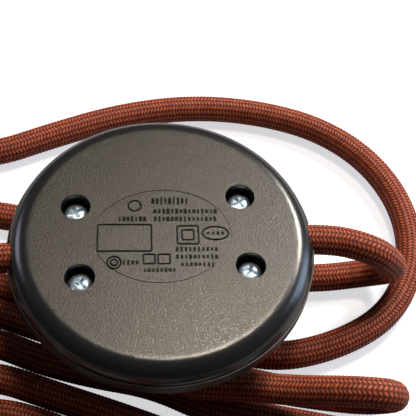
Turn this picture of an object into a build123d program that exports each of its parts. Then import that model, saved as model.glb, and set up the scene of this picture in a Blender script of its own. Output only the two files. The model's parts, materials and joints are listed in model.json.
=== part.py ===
from build123d import *
from math import cos, pi, radians, sin, sqrt, tan
import os

# In-line foot switch for a lamp, lying upside down on its own textile cord.
# Millimetres. The origin is the centre of the flat base face, which looks up (+Z).
# Depths below that face are negative Z. The two cord exits lie on the X axis.

# Housing
housing_radius = 32.0
base_radius = 31.75
face_radius = 27.5
parting_depth = 4.0
cover_depth = 15.2
cover_band_depth = 6.8
edge_radius = 4.3
cover_ring_radius = 17.0
dome_bulge = 2.5
ring_taper = 0.4
wall = 2.0
floor_wall = 2.0
lip_height = 1.4
lip_clearance = 0.15
lip_thickness = 1.3
lip_root = 3.2
lip_relief = 0.6
lip_seat = 0.1
label_length = 28.6
label_width = 22.8
label_line = 0.35
label_depth = 0.15

# Housing screws
screw_spacing_x = 34.6
screw_spacing_y = 17.0
counterbore_radius = 3.12
screw_seat_depth = 3.9
screw_head_radius = 2.45
screw_head_height = 1.9
screw_shank_radius = 1.3
screw_length = 7.6
screw_head_edge = 0.7
screw_hole_margin = 0.5
screw_clearance = 0.3
boss_wall = 1.2
boss_depth = 5.4
post_radius = 3.0
recess_width = 0.8
cross_length = 3.2
recess_depth = 0.9

# Cord and its exits
cord_diameter = 6.5
cord_depth = 4.8
cord_clearance = 0.15
exit_hole_start = 18.8
exit_hole_margin = 6.7
braid_end = 20.8
table_depth = 28.85
core_diameter = 2.4
core_pitch = 2.7
core_start = 20.6
core_straight = 19.0
core_dip_depth = 7.1
core_reach = 0.4

# Cord grips
grip_center = 23.4
grip_width = 4.4
grip_length = 14.6
grip_thickness = 1.6
grip_corner = 1.2
grip_screw_offset = 5.9
grip_screw_head_radius = 1.7
grip_screw_head_height = 0.7
grip_screw_shank_radius = 0.8
grip_screw_length = 5.0
grip_boss_radius = 2.0
fit_clearance = 0.05
grip_depth = cord_depth + cord_diameter / 2 + fit_clearance

# Button and its spring
button_radius = 14.0
button_clearance = 0.4
button_depth = 22.0
button_wall = 2.0
button_edge = 1.6
flange_radius = 16.4
flange_thickness = 1.4
flange_gap = 0.1
skirt_clearance = 0.5
skirt_wall = 1.2
skirt_height = 5.6
button_travel = 3.0
spring_radius = 9.7
spring_wire = 1.0
spring_turns = 5
spring_clearance = 0.1
pusher_radius = 6.8
pusher_plate = 1.3
pusher_stem_radius = 3.4
stem_socket_wall = 1.2

# Switch block, rotor and contacts
block_radius = 11.0
block_depth = 8.0
pin_radius = 1.5
pin_clearance = 0.06
pin_depth = 13.0
pin_seat = 1.6
pin_chamfer = 0.2
rotor_radius = 8.2
rotor_thickness = 1.5
tooth_count = 8
tooth_inner_radius = 3.2
tooth_outer_radius = 6.6
turn_per_press = 30.0
ramp_margin = 0.2
tooth_root = 0.4
tooth_gap = 0.3
pusher_tooth_angle = 11.0
pusher_tooth_height = 3.1
pusher_bore_radius = 2.1
pusher_bore_depth = 3.3
bridge_length = 15.6
bridge_width = 3.4
bridge_thickness = 0.5
bridge_corner = 0.8
bridge_hub_radius = 2.72
contact_gap = 0.1
contact_width = 3.0
contact_thickness = 0.6
contact_inner = 6.0
contact_leg = 7.9
contact_foot_depth = 5.4
terminal_center = 14.6
terminal_shift = -1.35
terminal_size = 4.4
terminal_depth = 6.6
terminal_hole_depth = 4.6
terminal_hole_radius = 1.3
terminal_bore_offset = 0.8
terminal_slot_width = 0.6
terminal_slot_depth = 0.5
neutral_y = 15.4
neutral_pitch = 8.0
terminal_screw_radius = 1.2
terminal_screw_head_radius = 1.8
terminal_screw_head_height = 1.1

# Plug
plug_length = 36.0
plug_width = 35.3
plug_thickness = 13.7
plug_neck_width = 11.0
plug_neck_length = 7.2
plug_neck_flare = 1.0
plug_shoulder = 3.0
plug_shoulder_start = 19.8
plug_shoulder_end = 27.0
plug_pin_tip = 0.6
plug_pin_radius = 2.0
plug_pin_length = 19.0
plug_pin_pitch = 19.0
plug_rear = (6.0, -67.3)
plug_turn = -41.0
plug_corner = 3.0
plug_edge = 2.0
plug_grip = 1.5

# Coil of the supply lead
coil_center = (-42.0, -71.5)
coil_ring_radius = 34.0
coil_height = 12.3
coil_edge = 3.0

# Bare end of the lamp lead
core_bare_length = 9.0
ferrule_radius = 1.3
ferrule_tube_radius = 0.8
ferrule_length = 8.0
ferrule_collar = 2.2

ramp_rise = button_travel + ramp_margin
ramp_angle = turn_per_press * ramp_rise / button_travel
rotor_depth = block_depth + contact_gap + bridge_thickness
low = -(table_depth - cord_diameter / 2)
high = low + cord_diameter + 0.2

# Routes of the cord's centre line, from the housing to the free end
lamp_route = [
    (braid_end, 0, -cord_depth),
    (35.2, 0, -cord_depth),
    (45.4, -3.7, -5.5),
    (50.7, -3.7, -12.4),
    (52.1, -0.4, -20.0),
    (47.6, 2.3, low),
    (36.2, 1.7, low),
    (20.0, 3.6, low),
    (2.5, 9.8, low),
    (-14.5, 16.8, low),
    (-29.0, 23.1, low),
    (-41.5, 26.2, low),
    (-53.0, 23.6, low),
    (-65.5, 22.6, low),
    (-76.0, 28.4, low),
    (-79.0, 39.6, low),
    (-71.5, 48.6, low),
    (-59.5, 49.6, low),
    (-48.0, 44.6, low),
    (-37.0, 42.3, low),
    (-22.0, 47.6, low),
    (-5.0, 52.6, low),
    (13.0, 54.3, low),
    (30.5, 51.3, low),
    (45.5, 44.6, low),
    (56.2, 33.2, low),
    (61.2, 18.4, low),
    (59.6, 3.2, low),
    (51.4, -9.2, low),
    (37.5, -15.8, low),
    (22.0, -17.6, low),
    (8.0, -10.6, low),
    (-6.0, -4.4, low),
    (-20.5, -0.9, low),
    (-35.3, 5.5, low),
    (-46.0, 10.4, low),
    (-58.0, 14.2, low),
    (-72.0, 15.8, low),
    (-86.0, 14.4, low),
    (-97.0, 6.4, low),
    (-101.0, -6.5, low),
    (-97.5, -19.5, low),
    (-87.0, -27.6, low),
    (-73.5, -28.2, low),
    (-61.0, -22.4, low),
    (-49.0, -15.6, low),
    (-36.5, -16.2, low),
    (-24.0, -22.2, low),
    (-11.5, -27.8, low),
    (2.0, -34.4, low),
    (15.0, -41.2, low),
    (28.0, -49.2, low),
    (36.6, -58.2, low),
    (43.4, -66.2, low),
    (53.0, -70.6, low),
    (63.8, -66.6, low),
    (67.8, -55.8, low),
    (63.0, -45.4, low),
    (53.6, -39.9, low),
    (43.6, -38.2, low),
    (32.0, -34.6, low),
    (19.5, -31.0, low),
    (8.0, -28.0, low),
    (-3.0, -21.2, low),
    (-16.0, -17.6, low),
    (-27.0, -13.4, low),
    (-36.0, -8.4, low),
    (-45.5, -6.6, low),
    (-54.5, -9.2, low),
    (-62.5, -13.6, low),
    (-71.5, -19.4, low),
    (-82.8, -19.6, low),
    (-91.2, -11.6, low),
    (-91.2, 0.0, low),
    (-82.5, 7.2, low),
    (-70.5, 7.4, low),
    (-58.5, 3.6, low),
    (-46.5, 1.8, low),
    (-35.4, -1.2, low),
    (-23.0, -7.4, low),
    (-9.5, -11.6, low),
    (4.5, -17.0, low),
    (15.5, -22.0, low),
    (25.0, -25.2, low),
    (34.0, -27.4, low),
    (41.6, -28.9, low),
    (46.0, -30.5, -22.0),
    (46.0, -32.3, -16.6),
    (42.0, -33.3, -12.4),
    (35.0, -32.0, -12.8),
    (26.0, -29.3, -16.8),
    (15.5, -26.4, high),
    (4.5, -25.2, high),
    (-6.5, -20.8, high),
]
supply_route = [
    (-braid_end, 0, -cord_depth),
    (-35.2, 0, -cord_depth),
    (-47.0, 1.8, -7.0),
    (-58.0, 3.0, -12.4),
    (-69.0, 3.6, -17.2),
    (-81.0, 2.6, high),
    (-92.0, -0.6, high + 0.5),
    (-102.0, -6.0, high + 0.1),
    (-107.8, -15.2, -22.0),
    (-110.2, -26.8, low),
    (-106.0, -38.2, low),
    (-96.4, -44.0, low),
    (-84.8, -43.6, low),
    (-73.0, -38.4, low),
    (-61.0, -31.0, low),
    (-48.5, -25.2, low),
    (-36.5, -24.4, low),
    (-25.6, -28.6, low),
    (-17.2, -33.8, low),
    (-12.6, -39.8, low),
    (-10.6, -45.9, low),
]
plug_lead_route = [
    (-11.4, -50.1, high),
    (-5.1, -56.2, high - 0.9),
    (0.9, -62.1, high - 2.0),
    (
        plug_rear[0] + plug_grip * cos(radians(plug_turn)),
        plug_rear[1] + plug_grip * sin(radians(plug_turn)),
        -(table_depth - plug_thickness / 2),
    ),
]

os.makedirs("parts", exist_ok=True)


def save(builder, name):
    """Labels a finished piece and writes it."""
    builder.part.label = name
    export_step(builder.part, f"parts/{name}.step")


def bend_radii(route):
    """The largest arc that each corner's two runs leave room for."""
    radii = []
    for before, corner, after in zip(route, route[1:], route[2:]):
        arriving = Vector(*corner) - Vector(*before)
        leaving = Vector(*after) - Vector(*corner)
        shorter = min(arriving.length, leaving.length)
        radii.append(0.45 * shorter / tan(radians(arriving.get_angle(leaving) / 2)))
    return radii


def lay_cord(route, diameter):
    """A round cord along straight runs joined by tangent arcs."""
    with BuildPart() as cord:
        with BuildLine() as line:
            FilletPolyline(*route, radius=bend_radii(route))
        with BuildSketch(Plane(origin=line.line @ 0, z_dir=line.line % 0)):
            Circle(diameter / 2)
        sweep()
    return cord


def report_cord(name, route, diameter, cord):
    """Prints a cord's length, its tightest arc and how its volume compares."""
    with BuildLine() as line:
        FilletPolyline(*route, radius=bend_radii(route))
    length = sum(edge.length for edge in line.edges())
    share = cord.part.volume / (pi * diameter**2 / 4 * length)
    radii = [round(radius, 1) for radius in bend_radii(route)]
    print(f"{name}: {length:.0f} mm, volume {share:.4f} of section times length, radii {radii}")


# Arc of the dome between the band and the flat ring round the button
band_point = (base_radius, -cover_band_depth)
ring_point = (cover_ring_radius, -cover_depth)
dome_chord = sqrt((band_point[0] - ring_point[0]) ** 2 + (band_point[1] - ring_point[1]) ** 2)
dome_radius = dome_chord**2 / (8 * dome_bulge) + dome_bulge / 2
inner_chord_end = (cover_ring_radius - ring_taper, -cover_depth + wall)
inner_chord_start = (base_radius - wall, -cover_band_depth)
rebate_radius = base_radius - lip_thickness
lip_radius = rebate_radius - lip_clearance
hole_radius = cord_diameter / 2 + cord_clearance
screw_places = (screw_spacing_x, screw_spacing_y, 2, 2)

# Base shell
with BuildPart() as base_shell:
    with BuildSketch(Plane.XZ):
        with BuildLine():
            Polyline((0, -floor_wall), (0, 0), (face_radius, 0))
            RadiusArc((face_radius, 0), (base_radius, -parting_depth), edge_radius)
            Polyline(
                (base_radius, -parting_depth),
                (lip_radius, -parting_depth),
                (lip_radius, -parting_depth - lip_height),
                (lip_radius - lip_thickness, -parting_depth - lip_height),
                (lip_radius - lip_thickness, -parting_depth + lip_relief),
                (lip_radius - lip_root, -floor_wall),
                (0, -floor_wall),
            )
        make_face()
    revolve(axis=Axis.Z)
    with BuildSketch(Plane.XY.offset(-floor_wall)):
        with GridLocations(*screw_places):
            Circle(counterbore_radius + boss_wall)
    extrude(amount=-(boss_depth - floor_wall))
    with BuildSketch(Plane.XY.offset(-floor_wall)):
        with GridLocations(2 * grip_center, 2 * grip_screw_offset, 2, 2):
            Circle(grip_boss_radius)
    extrude(amount=-(grip_depth - floor_wall))
    with Locations(Plane.XY):
        with GridLocations(*screw_places):
            CounterBoreHole(
                radius=screw_shank_radius + screw_clearance,
                counter_bore_radius=counterbore_radius,
                counter_bore_depth=screw_seat_depth,
                depth=boss_depth + 1,
            )
    with Locations(Plane.XY.offset(-grip_depth).rotated((180, 0, 0))):
        with GridLocations(2 * grip_center, 2 * grip_screw_offset, 2, 2):
            Hole(
                radius=grip_screw_shank_radius + fit_clearance,
                depth=grip_screw_length - grip_thickness + screw_hole_margin,
            )
    with BuildSketch(Plane.XY):
        Ellipse(label_length / 2, label_width / 2)
        Ellipse(label_length / 2 - label_line, label_width / 2 - label_line, mode=Mode.SUBTRACT)
    extrude(amount=-label_depth, mode=Mode.SUBTRACT)
    for side in (1, -1):
        with BuildSketch(Plane.YZ.offset(side * exit_hole_start)):
            with Locations((0, -cord_depth)):
                Circle(hole_radius)
        extrude(amount=side * housing_radius, mode=Mode.SUBTRACT)
save(base_shell, "base_shell")

# Top cover with its button ring, skirt and screw posts
with BuildPart() as top_cover:
    with BuildSketch(Plane.XZ):
        with BuildLine():
            Polyline(
                (rebate_radius, -parting_depth),
                (housing_radius, -parting_depth),
                (housing_radius, -cover_band_depth),
                band_point,
            )
            RadiusArc(band_point, ring_point, dome_radius)
            Polyline(
                ring_point,
                (button_radius + button_clearance, -cover_depth),
                (button_radius + button_clearance, -cover_depth + wall),
                inner_chord_end,
            )
            RadiusArc(inner_chord_end, inner_chord_start, -dome_radius + wall)
            Polyline(
                inner_chord_start,
                (base_radius - wall, -parting_depth - lip_height - lip_seat),
                (rebate_radius, -parting_depth - lip_height - lip_seat),
                (rebate_radius, -parting_depth),
            )
        make_face()
    revolve(axis=Axis.Z)
    with BuildSketch(Plane.XY.offset(-boss_depth)):
        with GridLocations(*screw_places):
            Circle(post_radius)
    extrude(amount=-(cover_depth - wall / 2 - boss_depth))
    with BuildSketch(Plane.XY.offset(-cover_depth + wall / 2)):
        Circle(flange_radius + skirt_clearance + skirt_wall)
        Circle(button_radius + button_clearance, mode=Mode.SUBTRACT)
    extrude(amount=skirt_height)
    with BuildSketch(Plane.XY.offset(-cover_depth + wall)):
        Circle(flange_radius + skirt_clearance)
    extrude(amount=cover_depth - wall - parting_depth, mode=Mode.SUBTRACT)
    with BuildSketch(Plane.XZ):
        with BuildLine():
            Polyline((0, -parting_depth), (housing_radius, -parting_depth), (housing_radius, -cover_band_depth))
            Line((housing_radius, -cover_band_depth), band_point)
            RadiusArc(band_point, ring_point, dome_radius)
            Polyline(ring_point, (0, -cover_depth), (0, -parting_depth))
        make_face()
    revolve(axis=Axis.Z, mode=Mode.INTERSECT)
    with Locations(Plane.XY.offset(-boss_depth)):
        with GridLocations(*screw_places):
            Hole(
                radius=screw_shank_radius + fit_clearance,
                depth=screw_length - (boss_depth - screw_seat_depth) + screw_hole_margin,
            )
    for side in (1, -1):
        with BuildSketch(Plane.YZ.offset(side * (flange_radius + skirt_clearance + skirt_wall + exit_hole_margin))):
            with Locations((0, -cord_depth)):
                Circle(hole_radius)
        extrude(amount=side * housing_radius, mode=Mode.SUBTRACT)
save(top_cover, "top_cover")

# Four housing screws with a combined cross and slot
with BuildPart() as housing_screws:
    with BuildSketch(Plane.XY.offset(-screw_seat_depth)):
        with GridLocations(*screw_places):
            Circle(screw_head_radius)
    extrude(amount=screw_head_height)
    fillet(housing_screws.faces().group_by(Axis.Z)[-1].edges(), screw_head_edge)
    with BuildSketch(Plane.XY.offset(-screw_seat_depth)):
        with GridLocations(*screw_places):
            Circle(screw_shank_radius)
    extrude(amount=-screw_length)
    with BuildSketch(Plane.XY.offset(-screw_seat_depth + screw_head_height)):
        with GridLocations(*screw_places):
            Rectangle(2 * screw_head_radius + 1, recess_width)
            Rectangle(recess_width, cross_length)
    extrude(amount=-recess_depth, mode=Mode.SUBTRACT)
save(housing_screws, "housing_screws")

# Foot button: a hollow cap with a retaining flange and a socket for the pusher
flange_bottom = -cover_depth + wall + flange_gap
socket_radius = pusher_stem_radius + fit_clearance
button_floor = -button_depth + button_wall
pusher_plane = -(rotor_depth + rotor_thickness + ramp_rise + tooth_gap + pusher_tooth_height)
with BuildPart() as foot_button:
    with BuildSketch(Plane.XY.offset(-button_depth)):
        Circle(button_radius)
    extrude(amount=flange_bottom + flange_thickness + button_depth)
    fillet(foot_button.faces().sort_by(Axis.Z)[0].edges(), button_edge)
    with BuildSketch(Plane.XY.offset(flange_bottom)):
        Circle(flange_radius)
    extrude(amount=flange_thickness)
    with BuildSketch(Plane.XY.offset(button_floor)):
        Circle(button_radius - button_wall)
    extrude(amount=button_depth, mode=Mode.SUBTRACT)
    with BuildSketch(Plane.XY.offset(button_floor)):
        Circle(socket_radius + stem_socket_wall)
        Circle(socket_radius, mode=Mode.SUBTRACT)
    extrude(amount=pusher_plane - pusher_plate - button_floor)
save(foot_button, "foot_button")


def ramp_section(angle, foot, top):
    """One radial face of a tooth, at an angle about the rotor's axis."""
    with BuildSketch(Plane.XZ.rotated((0, 0, angle))) as section:
        with BuildLine():
            Polyline(
                (tooth_inner_radius, foot),
                (tooth_outer_radius, foot),
                (tooth_outer_radius, top),
                (tooth_inner_radius, top),
                close=True,
            )
        make_face()
    return section.sketch


# Drive pusher: a stem and a plate that carries the crown of narrow teeth
pusher_tip = -(rotor_depth + rotor_thickness + ramp_rise) - tooth_gap
with BuildPart() as drive_pusher:
    with BuildSketch(Plane.XY.offset(pusher_plane)):
        Circle(pusher_radius)
    extrude(amount=-pusher_plate)
    with BuildSketch(Plane.XY.offset(pusher_plane - pusher_plate)):
        Circle(pusher_stem_radius)
    extrude(amount=button_floor - (pusher_plane - pusher_plate))
    with BuildSketch(Plane.XY.offset(pusher_plane)):
        Circle(pusher_bore_radius)
    extrude(amount=-pusher_bore_depth, mode=Mode.SUBTRACT)
    for tooth in range(tooth_count):
        lead = ramp_angle + tooth * 360 / tooth_count
        with BuildPart(mode=Mode.PRIVATE) as pusher_tooth:
            loft(
                [
                    ramp_section(lead - pusher_tooth_angle, pusher_plane, pusher_tip),
                    ramp_section(lead, pusher_plane, pusher_tip),
                ],
                ruled=True,
            )
        add(pusher_tooth.part)
save(drive_pusher, "drive_pusher")

# Ratchet rotor: a disc on the steel pin with a crown of ramped teeth
rotor_face = -(rotor_depth + rotor_thickness)
with BuildPart() as ratchet_rotor:
    with BuildSketch(Plane.XY.offset(-rotor_depth)):
        Circle(rotor_radius)
    extrude(amount=-rotor_thickness)
    for tooth in range(tooth_count):
        start = tooth * 360 / tooth_count
        with BuildPart(mode=Mode.PRIVATE) as rotor_tooth:
            loft(
                [
                    ramp_section(start, rotor_face + tooth_root, rotor_face - 0.01),
                    ramp_section(start + ramp_angle, rotor_face + tooth_root, rotor_face - ramp_rise),
                ],
                ruled=True,
            )
        add(rotor_tooth.part)
    with BuildSketch(Plane.XY):
        Circle(pin_radius + pin_clearance)
    extrude(amount=-button_depth, mode=Mode.SUBTRACT)
save(ratchet_rotor, "ratchet_rotor")

# Contact bridge: a brass strip under the rotor that joins the two live contacts
with BuildPart() as contact_bridge:
    with BuildSketch(Plane.XY.offset(-rotor_depth)):
        RectangleRounded(bridge_length, bridge_width, bridge_corner)
        Circle(bridge_hub_radius)
        Circle(pin_radius + pin_clearance, mode=Mode.SUBTRACT)
    extrude(amount=bridge_thickness)
save(contact_bridge, "contact_bridge")

with BuildPart() as rotor_pin:
    with BuildSketch(Plane.XY.offset(-floor_wall - pin_seat)):
        Circle(pin_radius)
    extrude(amount=-(pin_depth - floor_wall - pin_seat))
    chamfer(rotor_pin.edges(), pin_chamfer)
save(rotor_pin, "rotor_pin")

# Live contacts: a pad on the block, a leg through it and a screw terminal
contact_top = -block_depth


def live_contact(side):
    """The brass piece that joins one side's live core to its pad under the bridge."""
    with BuildPart() as contact:
        with BuildSketch(Plane.XZ) as outline:
            with BuildLine():
                Polyline(
                    (side * contact_inner, contact_top),
                    (side * (contact_leg + contact_thickness), contact_top),
                    (side * (contact_leg + contact_thickness), -contact_foot_depth - contact_thickness),
                    (side * terminal_center, -contact_foot_depth - contact_thickness),
                    (side * terminal_center, -contact_foot_depth),
                    (side * contact_leg, -contact_foot_depth),
                    (side * contact_leg, contact_top + contact_thickness),
                    (side * contact_inner, contact_top + contact_thickness),
                    close=True,
                )
            make_face()
        extrude(amount=contact_width / 2, both=True)
        with BuildSketch(Plane.XY.offset(-floor_wall)):
            with Locations((side * terminal_center, terminal_shift)):
                Rectangle(terminal_size, terminal_size)
        extrude(amount=-(terminal_depth - floor_wall))
        with BuildSketch(Plane.YZ.offset(side * (terminal_center - terminal_bore_offset))):
            with Locations((terminal_shift, -terminal_hole_depth)):
                Circle(terminal_hole_radius)
        extrude(amount=side * terminal_size, mode=Mode.SUBTRACT)
        with Locations(Plane.XY.offset(-terminal_depth).rotated((180, 0, 0))):
            with Locations((side * terminal_center, -terminal_shift)):
                Hole(radius=terminal_screw_radius + fit_clearance, depth=terminal_depth - terminal_hole_depth)
    return contact


fixed_contact_in = live_contact(-1)
save(fixed_contact_in, "fixed_contact_in")
fixed_contact_out = live_contact(1)
save(fixed_contact_out, "fixed_contact_out")

# Neutral connector: one brass bar that joins the two neutral cores
with BuildPart() as neutral_connector:
    with BuildSketch(Plane.XY.offset(-floor_wall)):
        with Locations((0, neutral_y)):
            Rectangle(neutral_pitch + terminal_size, terminal_size)
    extrude(amount=-(terminal_depth - floor_wall))
    for side in (1, -1):
        with BuildSketch(Plane.YZ.offset(side * (neutral_pitch / 2 - terminal_bore_offset))):
            with Locations((neutral_y, -terminal_hole_depth)):
                Circle(terminal_hole_radius)
        extrude(amount=side * terminal_size, mode=Mode.SUBTRACT)
    with Locations(Plane.XY.offset(-terminal_depth).rotated((180, 0, 0))):
        with Locations((-neutral_pitch / 2, -neutral_y), (neutral_pitch / 2, -neutral_y)):
            Hole(radius=terminal_screw_radius + fit_clearance, depth=terminal_depth - terminal_hole_depth)
save(neutral_connector, "neutral_connector")

# Terminal screws, one over each core
terminal_places = [
    (-terminal_center, terminal_shift),
    (terminal_center, terminal_shift),
    (-neutral_pitch / 2, neutral_y),
    (neutral_pitch / 2, neutral_y),
]
with BuildPart() as terminal_screws:
    with BuildSketch(Plane.XY.offset(-terminal_depth)):
        with Locations(*terminal_places):
            Circle(terminal_screw_head_radius)
    extrude(amount=-terminal_screw_head_height)
    with BuildSketch(Plane.XY.offset(-terminal_depth - terminal_screw_head_height)):
        with Locations(*terminal_places):
            Rectangle(2 * terminal_screw_head_radius + 1, terminal_slot_width)
    extrude(amount=terminal_slot_depth, mode=Mode.SUBTRACT)
    with BuildSketch(Plane.XY.offset(-terminal_depth)):
        with Locations(*terminal_places):
            Circle(terminal_screw_radius)
    extrude(amount=terminal_depth - terminal_hole_depth - core_diameter / 2 - fit_clearance)
save(terminal_screws, "terminal_screws")

# Switch block: the insulating seat of the pin, the live contacts and the spring
with BuildPart() as switch_block:
    with BuildSketch(Plane.XY.offset(-floor_wall)):
        Circle(block_radius)
    extrude(amount=-(block_depth - floor_wall))
    with BuildSketch(Plane.XY.offset(-block_depth)):
        Circle(pin_radius + fit_clearance)
    extrude(amount=block_depth - floor_wall - pin_seat + fit_clearance, mode=Mode.SUBTRACT)
    with BuildSketch(Plane.XZ):
        for side in (1, -1):
            with BuildLine():
                Polyline(
                    (side * (contact_inner - fit_clearance), contact_top - 1),
                    (side * (contact_leg + contact_thickness + fit_clearance), contact_top - 1),
                    (
                        side * (contact_leg + contact_thickness + fit_clearance),
                        -contact_foot_depth - contact_thickness - fit_clearance,
                    ),
                    (side * (block_radius + 1), -contact_foot_depth - contact_thickness - fit_clearance),
                    (side * (block_radius + 1), -contact_foot_depth),
                    (side * (contact_leg - fit_clearance), -contact_foot_depth),
                    (side * (contact_leg - fit_clearance), contact_top + contact_thickness),
                    (side * (contact_inner - fit_clearance), contact_top + contact_thickness),
                    close=True,
                )
            make_face()
    extrude(amount=contact_width / 2 + fit_clearance, both=True, mode=Mode.SUBTRACT)
save(switch_block, "switch_block")

# Button spring, from the block to the inside of the button
spring_start = button_floor + spring_clearance + spring_wire / 2
spring_rise = -block_depth - spring_clearance - spring_wire / 2 - spring_start
with BuildPart() as button_spring:
    with BuildLine(Plane.XY.offset(spring_start)) as coil_line:
        Helix(pitch=spring_rise / spring_turns, height=spring_rise, radius=spring_radius)
    with BuildSketch(Plane(origin=coil_line.line @ 0, z_dir=coil_line.line % 0)):
        Circle(spring_wire / 2)
    sweep(is_frenet=True)
save(button_spring, "button_spring")


# Cord grips: a bar under each cord end, held up by two small screws
def cord_grip(side):
    """The bar that clamps one cord against the base shell."""
    with BuildPart() as grip:
        with BuildSketch(Plane.XY.offset(-grip_depth)):
            with Locations((side * grip_center, 0)):
                RectangleRounded(grip_width, grip_length, grip_corner)
                with Locations((0, grip_screw_offset), (0, -grip_screw_offset)):
                    Circle(grip_screw_shank_radius + fit_clearance, mode=Mode.SUBTRACT)
        extrude(amount=-grip_thickness)
    return grip


cord_grip_left = cord_grip(-1)
save(cord_grip_left, "cord_grip_left")
cord_grip_right = cord_grip(1)
save(cord_grip_right, "cord_grip_right")

with BuildPart() as grip_screws:
    with BuildSketch(Plane.XY.offset(-grip_depth - grip_thickness)):
        with GridLocations(2 * grip_center, 2 * grip_screw_offset, 2, 2):
            Circle(grip_screw_head_radius)
    extrude(amount=-grip_screw_head_height)
    with BuildSketch(Plane.XY.offset(-grip_depth - grip_thickness)):
        with GridLocations(2 * grip_center, 2 * grip_screw_offset, 2, 2):
            Circle(grip_screw_shank_radius)
    extrude(amount=grip_screw_length)
save(grip_screws, "grip_screws")


def live_core(side):
    """A live core, from the end of the braid into its screw terminal."""
    route = [
        (side * core_start, terminal_shift, -cord_depth),
        (side * (core_straight - terminal_bore_offset), terminal_shift, -terminal_hole_depth),
        (side * (terminal_center + core_reach), terminal_shift, -terminal_hole_depth),
    ]
    return lay_cord(route, core_diameter)


def neutral_core(side):
    """A neutral core, round the screw post to the brass bar behind the block."""
    route = [
        (side * core_start, core_pitch / 2, -cord_depth),
        (side * core_straight, core_pitch / 2, -cord_depth),
        (side * 15.4, 4.4, -core_dip_depth),
        (side * 12.3, 8.4, -core_dip_depth),
        (side * 9.6, 14.8, -5.2),
        (side * 6.6, neutral_y, -terminal_hole_depth),
        (side * (neutral_pitch / 2 + core_reach), neutral_y, -terminal_hole_depth),
    ]
    return lay_cord(route, core_diameter)


for side, lead in ((-1, "supply"), (1, "lamp")):
    save(live_core(side), f"{lead}_live_core")
    save(neutral_core(side), f"{lead}_neutral_core")

# Free cords
lamp_cord = lay_cord(lamp_route, cord_diameter)
save(lamp_cord, "lamp_cord")
report_cord("lamp_cord", lamp_route, cord_diameter, lamp_cord)
supply_cord = lay_cord(supply_route, cord_diameter)
save(supply_cord, "supply_cord")
report_cord("supply_cord", supply_route, cord_diameter, supply_cord)
plug_lead = lay_cord(plug_lead_route, cord_diameter)
save(plug_lead, "plug_lead")
report_cord("plug_lead", plug_lead_route, cord_diameter, plug_lead)

# Coil of the supply lead: two turns side by side and one on top
coil_axis = Axis((coil_center[0], coil_center[1], 0), (0, 0, 1))
coil_plane = Plane(origin=(coil_center[0], coil_center[1], -table_depth), x_dir=(1, 0, 0), z_dir=(0, -1, 0))
with BuildPart() as cord_coil:
    with BuildSketch(coil_plane):
        with BuildLine():
            Polyline(
                (coil_ring_radius - cord_diameter, 0),
                (coil_ring_radius + cord_diameter, 0),
                (coil_ring_radius + cord_diameter, cord_diameter),
                (coil_ring_radius + cord_diameter / 2, coil_height),
                (coil_ring_radius - cord_diameter / 2, coil_height),
                (coil_ring_radius - cord_diameter, cord_diameter),
                close=True,
            )
        make_face()
    revolve(axis=coil_axis)
    fillet(cord_coil.edges().filter_by(GeomType.CIRCLE), coil_edge)
save(cord_coil, "cord_coil")

# Flat two-pin plug, lying beside the coil
plug_depth = table_depth - plug_thickness / 2
plug_plane = Plane(origin=(plug_rear[0], plug_rear[1], -plug_depth)).rotated((0, 0, plug_turn))
with BuildPart() as plug_body:
    with BuildSketch(plug_plane.offset(-plug_thickness / 2)):
        with BuildLine():
            Polyline(
                (0, plug_neck_width / 2),
                (plug_neck_length, plug_neck_width / 2 + plug_neck_flare),
                (plug_shoulder_start, plug_width / 2 - plug_shoulder),
                (plug_shoulder_end, plug_width / 2),
                (plug_length, plug_width / 2),
                (plug_length, -plug_width / 2),
                (plug_shoulder_end, -plug_width / 2),
                (plug_shoulder_start, -plug_width / 2 + plug_shoulder),
                (plug_neck_length, -plug_neck_width / 2 - plug_neck_flare),
                (0, -plug_neck_width / 2),
                close=True,
            )
        make_face()
    extrude(amount=plug_thickness)
    fillet(plug_body.edges().filter_by(Axis.Z), plug_corner)
    fillet(plug_body.faces().filter_by(Axis.Z).edges(), plug_edge)
save(plug_body, "plug_body")

plug_face = Plane(
    origin=plug_plane.from_local_coords((plug_length, 0, 0)),
    x_dir=plug_plane.y_dir,
    z_dir=plug_plane.x_dir,
)
with BuildPart() as plug_pins:
    with BuildSketch(plug_face):
        with Locations((-plug_pin_pitch / 2, 0), (plug_pin_pitch / 2, 0)):
            Circle(plug_pin_radius)
    extrude(amount=plug_pin_length)
    chamfer(plug_pins.faces().sort_by(Axis(plug_face.origin, plug_face.z_dir))[-2:].edges(), plug_pin_tip)
save(plug_pins, "plug_pins")

# Bare end of the lamp lead: two cores with crimped ferrules
end_point = Vector(*lamp_route[-1])
end_way = (end_point - Vector(*lamp_route[-2])).normalized()
end_side = end_way.cross(Vector(0, 0, 1)).normalized()


def end_plane(offset, side):
    """A plane across one core of the bare end, at a distance beyond the braid."""
    origin = end_point + end_way * offset + end_side * (side * core_pitch / 2)
    return Plane(origin=origin, x_dir=end_side, z_dir=end_way)


with BuildPart() as lamp_end_cores:
    for side in (1, -1):
        with BuildSketch(end_plane(0, side)):
            Circle(core_diameter / 2)
        extrude(amount=core_bare_length)
save(lamp_end_cores, "lamp_end_cores")

with BuildPart() as lamp_end_ferrules:
    for side in (1, -1):
        with BuildSketch(end_plane(core_bare_length, side)):
            Circle(ferrule_radius)
        extrude(amount=ferrule_collar)
        with BuildSketch(end_plane(core_bare_length + ferrule_collar, side)):
            Circle(ferrule_tube_radius)
        extrude(amount=ferrule_length - ferrule_collar)
save(lamp_end_ferrules, "lamp_end_ferrules")
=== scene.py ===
"""Lamp foot switch, upside down on its braided cord: pieces, finishes and stage, round the fixed frame."""

import json
import math

import bmesh
import bpy
from bpy.props import FloatProperty, FloatVectorProperty, IntProperty, PointerProperty
from mathutils import Matrix, Quaternion, Vector


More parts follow.
